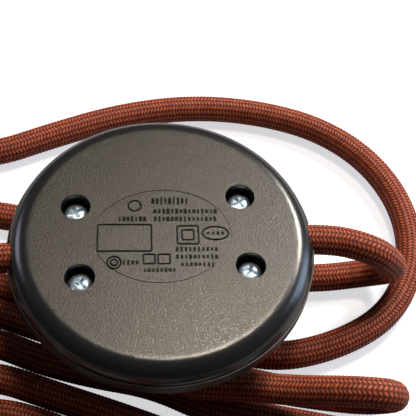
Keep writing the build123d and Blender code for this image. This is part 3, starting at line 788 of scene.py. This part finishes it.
def braid(settings, material):
    """A geometry tree that lays slanted columns of raised floats round a centre line."""
    shape = Shape(
        "braided_cord",
        radius=(settings.diameter / 2 - settings.relief / 2) * MM,
        pick=settings.pick * MM,
        columns=settings.columns,
        relief=settings.relief * MM,
        slant=settings.slant,
        material=material,
    )
    rows_to_a_pick = 2
    side_lift = 0.3
    pick, columns = shape.size("Pick"), shape.size("Columns")
    line = shape.resampled(shape.given, "LENGTH", pick / rows_to_a_pick)
    kept = {
        "row": ("FLOAT", shape.number("GeometryNodeInputIndex") / rows_to_a_pick),
        "centre": ("FLOAT_VECTOR", shape.first("GeometryNodeInputPosition")),
        "heading": ("FLOAT_VECTOR", shape.first("GeometryNodeInputTangent")),
    }
    for name, (kind, value) in kept.items():
        line = shape.store(line, name, value, kind)
    ring = shape.first(
        "GeometryNodeCurveArc", {"mode": "RADIUS"},
        {"Resolution": columns * 2 + 1, "Radius": shape.size("Radius"), "Sweep Angle": 2 * math.pi},
    )
    ring = shape.store(ring, "turn", shape.first("GeometryNodeSplineParameter"))
    tube = shape.sweep(line, ring)

    row = Value(shape, shape.stored("row"))
    column = Value(shape, shape.stored("turn")) * columns
    tube = shape.store(tube, "UVMap", shape.vector(column, row), "FLOAT2", "CORNER")
    crown = ((row % 1.0) * math.pi).sine()
    middle = ((column % 1.0) * math.pi).sine()
    lift = (crown * (side_lift + (1 - side_lift) * middle) - 0.5) * shape.size("Relief")
    lean = (abs((column % 2.0) - 1.0) - 0.5) * shape.size("Slant") * pick
    place = shape.first("GeometryNodeInputPosition")
    out = shape.vector_maths("SUBTRACT", {0: place, 1: shape.stored("centre", "FLOAT_VECTOR")})
    out = shape.vector_maths("NORMALIZE", {0: out})
    raised = shape.vector_maths("SCALE", {0: out, "Scale": lift})
    leant = shape.vector_maths("SCALE", {0: shape.stored("heading", "FLOAT_VECTOR"), "Scale": lean})
    shift = shape.vector_maths("ADD", {0: raised, 1: leant})
    tube = shape.first("GeometryNodeSetPosition", {}, {"Geometry": tube, "Offset": shift})
    tube = shape.first("GeometryNodeMergeByDistance", {}, {"Geometry": tube, "Distance": 0.01 * MM})
    for name in (*kept, "turn"):
        tube = shape.first("GeometryNodeRemoveAttribute", {}, {"Geometry": tube, "Name": name})
    tube = shape.first("GeometryNodeSetShadeSmooth", {}, {"Geometry": tube})
    shape.finish(tube)
    return shape


def braided(name, route, settings, material):
    """A cord's braided tube, closed at both ends, and the points that it follows."""
    line = route_curve(name + "_line", route)
    points = points_of(line)
    piece = braid(settings, material).on(line, name)
    work = bmesh.new()
    work.from_mesh(piece.data)
    bmesh.ops.holes_fill(work, edges=[edge for edge in work.edges if edge.is_boundary])
    bmesh.ops.recalc_face_normals(work, faces=work.faces)
    work.to_mesh(piece.data)
    work.free()
    return piece, points


def textile_material(settings):
    """The braid's finish, made once for both leads."""
    return bpy.data.materials.get("braided_rayon") or textile(settings)


class SWITCH_OT_lamp_lead(bpy.types.Operator):
    """Lays the lamp lead from the right exit, through its loops, to its bare end"""

    bl_idname = "foot_switch.lamp_lead"
    bl_label = "Lamp lead"

    def execute(self, context):
        settings = settings_of(context, "cord")
        piece, points = braided("lamp_lead", LAMP_ROUTE, settings, textile_material(settings))
        settle(piece, "housing", "textile_braid", "lamp_cord")
        return {"FINISHED"}


def coil_points():
    """The turns of the put-away coil: two that spiral inwards on the table and one on top of them."""
    points = []
    inner = COIL_OUTSIDE - COIL_STEP * COIL_TABLE_TURNS
    for step in range(1, COIL_TURNS * COIL_STEPS):
        turns = step / COIL_STEPS
        angle = COIL_START_ANGLE - 2 * math.pi * turns
        height = LOW
        if turns < COIL_TABLE_TURNS:
            swell = COIL_START_SWELL * max(0.0, 1 - turns * COIL_START_SHARE)
            radius = COIL_OUTSIDE - COIL_STEP * turns + swell
        else:
            over = turns - COIL_TABLE_TURNS
            climb = min(1.0, over / COIL_CLIMB_TURNS)
            groove = COIL_OUTSIDE - COIL_STEP * (over + 0.5)
            leave = max(0.0, (over - COIL_LEAVE_FROM) / COIL_LEAVE_TURNS)
            shift = min(1.0, over / COIL_SHIFT_TURNS)
            radius = inner + (groove - inner) * shift + (COIL_LEAVE_RADIUS - groove) * leave
            height = LOW + (COIL_TOP - LOW) * climb + COIL_SUNK * leave
        x = COIL_CENTER[0] + radius * math.cos(angle)
        y = COIL_CENTER[1] + radius * math.sin(angle)
        points.append((x, y, height))
    return points


class SWITCH_OT_supply_lead(bpy.types.Operator):
    """Lays the supply lead from the left exit to its coil and on to the plug"""

    bl_idname = "foot_switch.supply_lead"
    bl_label = "Supply lead"

    def execute(self, context):
        settings = settings_of(context, "cord")
        route = SUPPLY_ROUTE + coil_points() + PLUG_LEAD_ROUTE
        piece, points = braided("supply_lead", route, settings, textile_material(settings))
        settle(piece, "housing", "textile_braid", "supply_cord", "cord_coil", "plug_lead")
        return {"FINISHED"}


class SWITCH_OT_housing(bpy.types.Operator):
    """Makes the base and the cover"""

    bl_idname = "foot_switch.housing"
    bl_label = "Housing"

    def execute(self, context):
        settings = settings_of(context, "housing")
        moulded("base_shell", "base", grained_base(settings), settings.soft_edge)
        cover = satin_plastic("satin_cover", settings.edge_colour, 0.34, 1800.0, 0.008, 0.25)
        moulded("top_cover", "cover", cover, settings.soft_edge)
        return {"FINISHED"}


class SWITCH_OT_button(bpy.types.Operator):
    """Makes the foot button"""

    bl_idname = "foot_switch.button"
    bl_label = "Button"

    def execute(self, context):
        settings = settings_of(context, "housing")
        finish = satin_plastic("satin_button", settings.edge_colour, 0.36, 2200.0, 0.012)
        moulded("foot_button", "button_cap", finish, settings.soft_edge, body="button")
        return {"FINISHED"}


class SWITCH_OT_inner_parts(bpy.types.Operator):
    """Gives every other CAD piece its finish"""

    bl_idname = "foot_switch.inner_parts"
    bl_label = "Inner parts"

    def execute(self, context):
        # By material slot: colour and roughness, and a moulding's grains to a metre and their depth
        finishes = {
            "black_plastic": satin_plastic("black_moulding", (0.013, 0.013, 0.014), 0.42, 1500.0, 0.01),
            "white_nylon": satin_plastic("natural_nylon", (0.72, 0.70, 0.64), 0.45, 1200.0, 0.01),
            "block_resin": satin_plastic("pressed_resin", (0.42, 0.38, 0.31), 0.5, 900.0, 0.015),
            "brown_sheath": satin_plastic("brown_sheath", (0.10, 0.035, 0.015), 0.4, 900.0, 0.01),
            "blue_sheath": satin_plastic("blue_sheath", (0.02, 0.08, 0.32), 0.4, 900.0, 0.01),
            "zinc_steel": bright_metal("zinc_plate", (0.72, 0.75, 0.78), 0.16),
            "spring_steel": bright_metal("spring_wire", (0.55, 0.55, 0.56), 0.22),
            "brass": bright_metal("stamped_brass", (0.80, 0.58, 0.26), 0.22),
            "tinned_copper": bright_metal("tinned_copper", (0.76, 0.74, 0.70), 0.26),
        }
        slots = {row["node"]: row["material_slot"] for row in frame["record"]["subparts"]}
        for name, node in nodes.items():
            if not node.hide_render and slots[name] in finishes:
                paint(node.data, finishes[slots[name]])
        return {"FINISHED"}


def ring_stack(name, rings, bottom, top, material):
    """A closed mesh through rings of equally many points, with a pole below the first and above the last."""
    count = len(rings[0])
    points = [bottom] + [point for ring in rings for point in ring] + [top]
    last = len(points) - 1
    faces = []
    for i in range(count):
        j = (i + 1) % count
        faces.append((0, 1 + j, 1 + i))
        faces.append((last, last - count + i, last - count + j))
        for ring in range(len(rings) - 1):
            low = 1 + ring * count
            faces.append((low + i, low + j, low + count + j, low + count + i))
    mesh = bpy.data.meshes.new(name)
    mesh.from_pydata([Vector(point) * MM for point in points], [], faces)
    paint(mesh, material)
    mesh.shade_smooth()
    mesh.set_sharp_from_angle(angle=math.radians(34))
    return linked(name, mesh)


def screw(settings, material):
    """A pan head screw with a cross and slot recess, as rings from its tip, over its head and into it.

    The arms of the recess and of its floor are half lengths and half widths, in millimetres.
    """
    radius, seat = settings.head_radius, -settings.seat
    height, edge_height = 1.9, 0.8
    shank, shank_end = 1.3, 6.2
    tip_radius, tip, point = 0.5, 7.2, 7.5
    recess_floor, recess_pole = 0.8, 1.2
    steps_round = 20
    arms = ((1.95, 0.27), (1.4, 0.43), (0.43, 1.4))
    floor_arms = ((1.85, 0.2), (0.95, 0.26), (0.26, 0.95))
    corners = [math.atan2(across, along) for along, across in arms]
    angles = {math.radians(45)} | set(corners)
    angles |= {math.pi - angle for angle in angles}
    angles |= {-angle for angle in angles}
    angles |= {math.pi * step / steps_round for step in range(1 - steps_round, steps_round + 1)}
    angles = sorted({round(angle, 5) for angle in angles})

    def reach(angle, sides):
        c, s = max(1e-6, abs(math.cos(angle))), max(1e-6, abs(math.sin(angle)))
        return max(min(along / c, across / s) for along, across in sides)

    def dome(r):
        return seat + edge_height + (height - edge_height) * max(0.0, 1 - (r / radius) ** 3.2) ** 0.5

    def circle(r, z):
        return [(r * math.cos(a), r * math.sin(a), z) for a in angles]

    outside = ((tip_radius, seat - tip), (shank, seat - shank_end), (shank, seat), (radius, seat))
    rings = [circle(r, z) for r, z in outside]
    for share in (0.0, 0.02, 0.08, 0.2, 0.4, 0.65, 1.0):
        ring = []
        for angle in angles:
            edge = reach(angle, arms)
            r = radius + (edge - radius) * share
            ring.append((r * math.cos(angle), r * math.sin(angle), dome(r)))
        rings.append(ring)
    floor = [(reach(a, floor_arms) * math.cos(a), reach(a, floor_arms) * math.sin(a)) for a in angles]
    rings.append([(x, y, seat + height - recess_floor) for x, y in floor])
    bottom, top = (0, 0, seat - point), (0, 0, seat + height - recess_pole)
    return ring_stack("screw", rings, bottom, top, material)


class SWITCH_OT_screws(bpy.types.Operator):
    """Puts a screw in each of the four bores of the base"""

    bl_idname = "foot_switch.screws"
    bl_label = "Housing screws"

    def execute(self, context):
        settings = settings_of(context, "screws")
        material = bright_metal("zinc_screws", tuple(settings.colour), 0.34)
        shape = Shape(
            "four_screws", spacing_x=settings.spacing_x * MM, spacing_y=settings.spacing_y * MM,
            seed=settings.seed, material=material,
        )
        sides = {"Size X": shape.size("Spacing x"), "Size Y": shape.size("Spacing y")}
        places = shape.first("GeometryNodeMeshGrid", {}, {**sides, "Vertices X": 2, "Vertices Y": 2})
        turned = shape.vector(0.0, 0.0, shape.random(0.0, math.pi, shape.size("Seed")))
        shape.finish(shape.copies(places, shape.given, Rotation=turned))
        piece = shape.on(screw(settings, material), "screws")
        settle(piece, "housing", "zinc_steel", "housing_screws")
        return {"FINISHED"}


def outline(center, half, corner):
    """The points of a rounded rectangle, in millimetres. Corners as wide as the sides make an oval."""
    steps = 8
    points = []
    for quarter, (right, up) in enumerate(((1, 1), (-1, 1), (-1, -1), (1, -1))):
        for step in range(steps + 1):
            angle = math.pi / 2 * (quarter + step / steps)
            points.append((
                center[0] + right * (half[0] - corner[0]) + corner[0] * math.cos(angle),
                center[1] + up * (half[1] - corner[1]) + corner[1] * math.sin(angle),
            ))
    return points


def wires(name, lines, closed, heights=None):
    """A mesh of edges along lines of points in millimetres, each line with its own height in an attribute."""
    points, edges, values = [], [], []
    for number, line in enumerate(lines):
        first = len(points)
        points += [(x * MM, y * MM, 0) for x, y in line]
        edges += [(first + i, first + i + 1) for i in range(len(line) - 1)]
        if closed:
            edges.append((first + len(line) - 1, first))
        values += [heights[number] * MM if heights else 0.0] * len(line)
    mesh = bpy.data.meshes.new(name)
    mesh.from_pydata(points, edges, [])
    mesh.attributes.new("row_height", "FLOAT", "POINT").data.foreach_set("value", values)
    return linked(name, mesh)


# Closed outlines of the marks as centre, half width and height, and corner, in the marks' own directions
MARK_OUTLINES = (
    ((-7.7, -0.5), (5.5, 3.2), (0.3, 0.3)),
    ((-5.6, 7.4), (1.3, 1.3), (1.3, 1.3)),
    ((5.3, 0.2), (2.2, 2.2), (0.4, 0.4)),
    ((5.3, 0.2), (1.2, 1.2), (0.3, 0.3)),
    ((11.0, 0.6), (2.7, 1.6), (2.7, 1.6)),
    ((-9.8, -6.4), (1.4, 1.4), (1.4, 1.4)),
    ((-9.8, -6.4), (0.7, 0.7), (0.7, 0.7)),
    ((-2.7, -5.6), (1.2, 1.1), (0.2, 0.2)),
    ((0.3, -5.6), (1.2, 1.1), (0.2, 0.2)),
)

# Rows of dashes as start, end, place across and dash height
MARK_ROWS = (
    (-1.8, 5.2, 8.6, 1.9),
    (-1.4, 11.2, 6.0, 1.3),
    (-1.4, 11.0, 4.1, 1.3),
    (-8.7, -3.6, 4.1, 1.3),
    (9.5, 12.5, 0.6, 1.0),
    (3.0, 11.0, -3.3, 1.15),
    (3.0, 11.0, -5.1, 1.15),
    (4.0, 10.2, -6.9, 1.15),
    (-7.8, -5.2, -6.4, 1.2),
    (-3.6, 2.3, -8.2, 1.1),
)


class SWITCH_OT_marks(bpy.types.Operator):
    """Raises plain outlines and rows of dashes inside the oval"""

    bl_idname = "foot_switch.marks"
    bl_label = "Marks"

    def execute(self, context):
        settings = settings_of(context, "marks")
        # The marks' darker colour is painted shade for the weaker reflection of their smooth tops
        material = satin_plastic("polished_marks", tuple(settings.colour), 0.3, 3000.0, 0.004, 0.06)
        lines = Shape("raised_lines", line=settings.line * MM, height=settings.height * MM, material=material)
        bar = lines.rectangle(lines.size("Line"), lines.size("Height"))
        curve = lines.edges_as_curve()
        upright = lines.first("GeometryNodeSetCurveNormal", {"mode": "Z_UP"}, {"Curve": curve})
        lines.finish(lines.sweep(upright, bar))

        rows = Shape(
            "raised_dashes", pitch=settings.pitch * MM, height=settings.height * MM, seed=settings.seed,
            material=material,
        )
        pitch, seed = rows.size("Pitch"), rows.size("Seed")
        spread = rows.resampled(rows.edges_as_curve(), "LENGTH", pitch)
        wide = rows.random(0.4, 0.86, seed) * pitch
        tall = Value(rows, rows.stored("row_height")) * rows.random(0.6, 1.0, seed + 1)
        block = rows.first("GeometryNodeMeshCube", {}, {"Size": (1, 1, 1)})
        rows.finish(rows.copies(spread, block, Scale=rows.vector(wide, tall, rows.size("Height"))))

        turned = Matrix.Rotation(-settings.turn, 4, "Z")
        shown_share = 0.3
        raised = Matrix.Translation((0, 0, settings.height * shown_share * MM)) @ turned
        drawn = wires("outlines", [outline(*mark) for mark in MARK_OUTLINES], True)
        dashes = [((start, across), (end, across)) for start, end, across, size in MARK_ROWS]
        ruled = wires("rows", dashes, False, [row[3] for row in MARK_ROWS])
        for piece in (lines.on(drawn, "mark_outlines"), rows.on(ruled, "mark_dashes")):
            piece.data.transform(raised)
            settle(piece, "housing", "black_plastic")
        return {"FINISHED"}


def strap_line(settings):
    """The line of a strap round the coil's three strands, with its tail laid over its start."""
    turn = COIL_START_ANGLE - math.pi
    strands = [(COIL_OUTSIDE - COIL_STEP * s, z) for s, z in ((0.5, LOW), (1.5, LOW), (1, COIL_TOP))]
    steps, tail = 64, 14
    lap_lead, lap_steps, lap_rise = 3, 5, 1.02
    table_gap = 0.6
    start = math.radians(200)
    points = []
    for step in range(steps + tail):
        angle = start + 2 * math.pi * step / steps
        over = min(1.0, max(0.0, (step - steps + lap_lead) / lap_steps))
        reach = CORD_DIAMETER / 2 + settings.tie_thickness * (0.5 + lap_rise * over)
        side, up = math.cos(angle), math.sin(angle)
        far, high = max(strands, key=lambda strand: strand[0] * side + strand[1] * up)
        x, z = far + reach * side, high + reach * up
        z = max(z, TABLE / MM + settings.tie_thickness * table_gap)
        points.append((COIL_CENTER[0] + x * math.cos(turn), COIL_CENTER[1] + x * math.sin(turn), z))
    return points


class SWITCH_OT_tie(bpy.types.Operator):
    """Straps the coil together"""

    bl_idname = "foot_switch.tie"
    bl_label = "Coil tie"

    def execute(self, context):
        settings = settings_of(context, "plug")
        material = satin_plastic("woven_strap", tuple(settings.tie_colour), 0.75, 2600.0, 0.05)
        shape = Shape(
            "coil_tie", width=settings.tie_width * MM, thickness=settings.tie_thickness * MM,
            material=material,
        )
        band = shape.rectangle(shape.size("Width"), shape.size("Thickness"))
        shape.finish(shape.sweep(shape.edges_as_curve(), band, caps=True))
        line = bpy.data.meshes.new("strap_line")
        points = strap_line(settings)
        line.from_pydata([Vector(p) * MM for p in points], [(i, i + 1) for i in range(len(points) - 1)], [])
        piece = shape.on(linked("strap_line", line), "coil_tie")
        piece.data.shade_smooth()
        piece.data.set_sharp_from_angle(angle=math.radians(50))
        settle(piece, "housing", "textile_braid")
        return {"FINISHED"}


def sleeve_tree(settings, material):
    """A geometry tree for a ribbed sleeve that widens along the last stretch of a line."""
    wide, narrow, groove = 5.3, 3.75, 0.5
    smooth_end = 0.9
    points_to_a_rib = 10
    shape = Shape(
        "ribbed_sleeve", length=settings.sleeve_length * MM, wide=wide * MM, narrow=narrow * MM,
        groove=groove * MM, ribs=settings.sleeve_ribs, material=material,
    )
    whole = shape.number("GeometryNodeCurveLength", {}, {"Curve": shape.given})
    start = 1 - shape.size("Length") / whole
    end = shape.first("GeometryNodeTrimCurve", {"mode": "FACTOR"}, {0: shape.given, 2: start, 3: 1.0})
    ribs = shape.size("Ribs")
    fine = shape.resampled(end, "COUNT", ribs * points_to_a_rib + 1)
    share = shape.number("GeometryNodeSplineParameter")
    wave = (share * ribs * (2 * math.pi)).sine()
    sunk = wave.maths("MAXIMUM", 0.0) ** 0.5 * shape.size("Groove") * (share < smooth_end)
    radius = shape.size("Narrow") + (shape.size("Wide") - shape.size("Narrow")) * share - sunk
    circle = {"Resolution": 32, "Radius": 1.0}
    ring = shape.first("GeometryNodeCurvePrimitiveCircle", {"mode": "RADIUS"}, circle)
    shape.finish(shape.sweep(fine, ring, radius, True))
    return shape


def grip_tree(settings, material):
    """A geometry tree for the ribs across the plug, each wider than the one behind it."""
    first, radius, narrow, sunk = 9.5, 0.5, 9.6, 0.18
    ribs = Shape(
        "grip_ribs", ribs=settings.ribs, pitch=settings.rib_pitch * MM, first=first * MM,
        radius=radius * MM, narrow=narrow * MM, widen=1.25, height=(PLUG_THICKNESS / 2 - sunk) * MM,
        material=material,
    )
    pitch, thick = ribs.size("Pitch"), ribs.size("Radius")
    start = ribs.vector(ribs.size("First"), 0.0, ribs.size("Height"))
    line = ribs.first(
        "GeometryNodeMeshLine", {"mode": "OFFSET"},
        {"Count": ribs.size("Ribs"), "Start Location": start, "Offset": ribs.vector(pitch)},
    )
    wide = ribs.size("Narrow") + ribs.number("GeometryNodeInputIndex") * pitch * ribs.size("Widen")
    ribs.finish(ribs.copies(line, ribs.given, Scale=ribs.vector(thick, wide, thick)))
    return ribs


def rib_bar(material):
    """A round bar with blunt ends, one metre long and one in radius, which the tree scales for each rib."""
    sides = 20
    around = [2 * math.pi * step / sides for step in range(sides)]
    profile = ((-0.5, 0.55), (-0.49, 0.85), (-0.47, 1.0), (0.47, 1.0), (0.49, 0.85), (0.5, 0.55))
    rings = [[(math.sin(a) * r / MM, y / MM, math.cos(a) * r / MM) for a in around] for y, r in profile]
    return ring_stack("bar", rings, (0, -0.5 / MM, 0), (0, 0.5 / MM, 0), material)


class SWITCH_OT_plug(bpy.types.Operator):
    """Finishes the plug, its grip ribs, its pins and the sleeve of its lead"""

    bl_idname = "foot_switch.plug"
    bl_label = "Plug"

    def execute(self, context):
        settings = settings_of(context, "plug")
        material = plug_moulding()
        moulded("plug_body", "plug_shell", material, edge=0.1, slot="plug_plastic")
        paint(nodes["plug_pins"].data, pin_plating())

        grip = grip_tree(settings, material).on(rib_bar(material), "plug_grip")
        middle = Vector((*PLUG_REAR, TABLE / MM + PLUG_THICKNESS / 2)) * MM
        grip.data.transform(Matrix.Translation(middle) @ Matrix.Rotation(PLUG_TURN, 4, "Z"))
        grip.data.shade_smooth()
        settle(grip, "housing", "plug_plastic")

        line = route_curve("sleeve_line", PLUG_LEAD_ROUTE)
        sleeve = sleeve_tree(settings, material).on(line, "plug_sleeve")
        sleeve.data.shade_smooth()
        sleeve.data.set_sharp_from_angle(angle=math.radians(60))
        settle(sleeve, "housing", "plug_plastic")
        return {"FINISHED"}


class SWITCH_PT_panel(bpy.types.Panel):
    """Buttons for every group of pieces, in the order that they are made"""

    bl_label = "Foot switch"
    bl_idname = "SWITCH_PT_panel"
    bl_space_type = "VIEW_3D"
    bl_region_type = "UI"
    bl_category = "Foot switch"

    def draw(self, context):
        for operator in OPERATORS:
            self.layout.operator(operator.bl_idname)


OPERATORS = (
    SWITCH_OT_stage,
    SWITCH_OT_tie,
    SWITCH_OT_plug,
    SWITCH_OT_lamp_lead,
    SWITCH_OT_supply_lead,
    SWITCH_OT_housing,
    SWITCH_OT_screws,
    SWITCH_OT_marks,
    SWITCH_OT_button,
    SWITCH_OT_inner_parts,
)


def register():
    for cls in (*SETTINGS.values(), *OPERATORS, SWITCH_PT_panel):
        bpy.utils.register_class(cls)
    for group, cls in SETTINGS.items():
        setattr(bpy.types.Scene, "foot_switch_" + group, PointerProperty(type=cls))


def unregister():
    for group in SETTINGS:
        delattr(bpy.types.Scene, "foot_switch_" + group)
    for cls in (SWITCH_PT_panel, *reversed(OPERATORS), *SETTINGS.values()):
        bpy.utils.unregister_class(cls)


def main():
    register()
    for operator in OPERATORS:
        group, name = operator.bl_idname.split(".")
        getattr(getattr(bpy.ops, group), name)()


if __name__ == "__main__":
    main()
